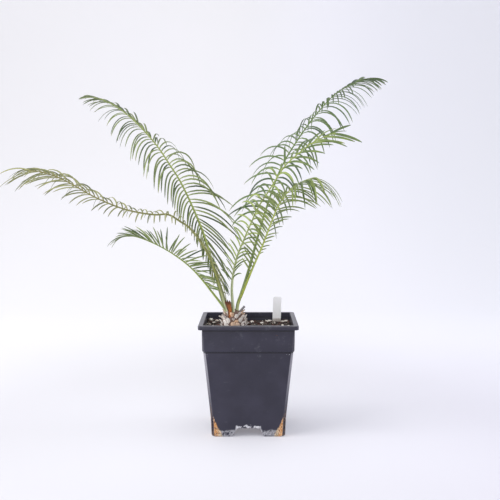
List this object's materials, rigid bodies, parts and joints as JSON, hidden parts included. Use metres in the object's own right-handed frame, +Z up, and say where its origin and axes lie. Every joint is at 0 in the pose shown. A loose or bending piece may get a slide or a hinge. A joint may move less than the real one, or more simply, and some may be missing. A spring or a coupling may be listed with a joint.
{
  "type": "potted cycad",
  "caption": "Young feather-leaved cycad on a scaly caudex, in a square black nursery pot with a lip, a notched foot, gritty potting mix and a blank plant label.",
  "frame": {"origin": "bottom centre of the pot, on the face of the round centre pad under its floor", "axes": "+Z up, +X to the right and -Y toward the viewer, with the label at the back right corner"},
  "size_m": [0.6074, 0.4104, 0.5806],
  "materials": {
    "pot_plastic": "satin dark grey polypropylene",
    "damp_mix": "damp bark mix with pale grit",
    "scaly_stem": "dry cream and brown leaf bases",
    "frond_grey_green": "waxy grey green",
    "frond_olive": "waxy olive green",
    "frond_bright_green": "waxy yellow green",
    "frond_dark_green": "waxy dark green",
    "dry_brown": "dry papery red brown",
    "label_plastic": "matt white"
  },
  "bodies": {
    "root": {"pot": "pot_plastic", "potting_mix": "damp_mix", "caudex": "scaly_stem", "frond_back_left": "frond_grey_green", "frond_far_left": "frond_olive", "frond_low_left": "frond_grey_green", "frond_near_right": "frond_bright_green", "frond_back_right": "frond_dark_green", "frond_front_right": "frond_bright_green", "dry_cataphyll": "dry_brown", "plant_label": "label_plastic"}
  },
  "joints": []
}
